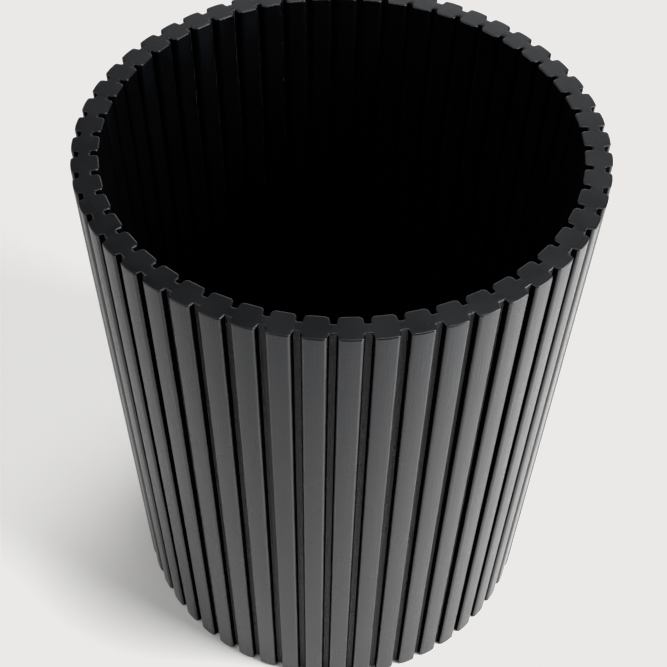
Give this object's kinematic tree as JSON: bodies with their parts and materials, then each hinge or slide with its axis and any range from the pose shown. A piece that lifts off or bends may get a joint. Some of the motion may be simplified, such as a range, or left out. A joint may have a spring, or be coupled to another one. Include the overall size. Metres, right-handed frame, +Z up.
{
  "type": "wastebasket",
  "caption": "Round open-topped wastebasket: a straight wall of upright slatted wooden staves joined edge to edge round a bottom panel.",
  "frame": {"origin": "centre of the ring of staves, on the floor that they stand on", "axes": "+Z up along the basket's centre line; the outside of stave_01 faces -Y, and the staves are numbered counter-clockwise seen from above"},
  "size_m": [0.2502, 0.25, 0.32],
  "materials": {
    "stave_lacquer": "satin black lacquer over fine-grained wood, rougher and thinner in the grooves",
    "panel_lacquer": "matt black lacquered board"
  },
  "bodies": {
    "root": {"stave_01": "stave_lacquer", "stave_02": "stave_lacquer", "stave_03": "stave_lacquer", "stave_04": "stave_lacquer", "stave_05": "stave_lacquer", "stave_06": "stave_lacquer", "stave_07": "stave_lacquer", "stave_08": "stave_lacquer", "stave_09": "stave_lacquer", "stave_10": "stave_lacquer", "stave_11": "stave_lacquer", "stave_12": "stave_lacquer", "stave_13": "stave_lacquer", "stave_14": "stave_lacquer", "stave_15": "stave_lacquer", "stave_16": "stave_lacquer", "stave_17": "stave_lacquer", "stave_18": "stave_lacquer", "stave_19": "stave_lacquer", "stave_20": "stave_lacquer", "stave_21": "stave_lacquer", "stave_22": "stave_lacquer", "stave_23": "stave_lacquer", "stave_24": "stave_lacquer", "stave_25": "stave_lacquer", "stave_26": "stave_lacquer", "stave_27": "stave_lacquer", "stave_28": "stave_lacquer", "stave_29": "stave_lacquer", "stave_30": "stave_lacquer", "stave_31": "stave_lacquer", "stave_32": "stave_lacquer", "stave_33": "stave_lacquer", "stave_34": "stave_lacquer", "stave_35": "stave_lacquer", "stave_36": "stave_lacquer", "stave_37": "stave_lacquer", "stave_38": "stave_lacquer", "stave_39": "stave_lacquer", "stave_40": "stave_lacquer", "stave_41": "stave_lacquer", "stave_42": "stave_lacquer", "stave_43": "stave_lacquer", "stave_44": "stave_lacquer", "stave_45": "stave_lacquer", "stave_46": "stave_lacquer", "stave_47": "stave_lacquer", "stave_48": "stave_lacquer", "stave_49": "stave_lacquer", "stave_50": "stave_lacquer", "stave_51": "stave_lacquer", "stave_52": "stave_lacquer", "stave_53": "stave_lacquer", "base_panel": "panel_lacquer"}
  },
  "joints": []
}
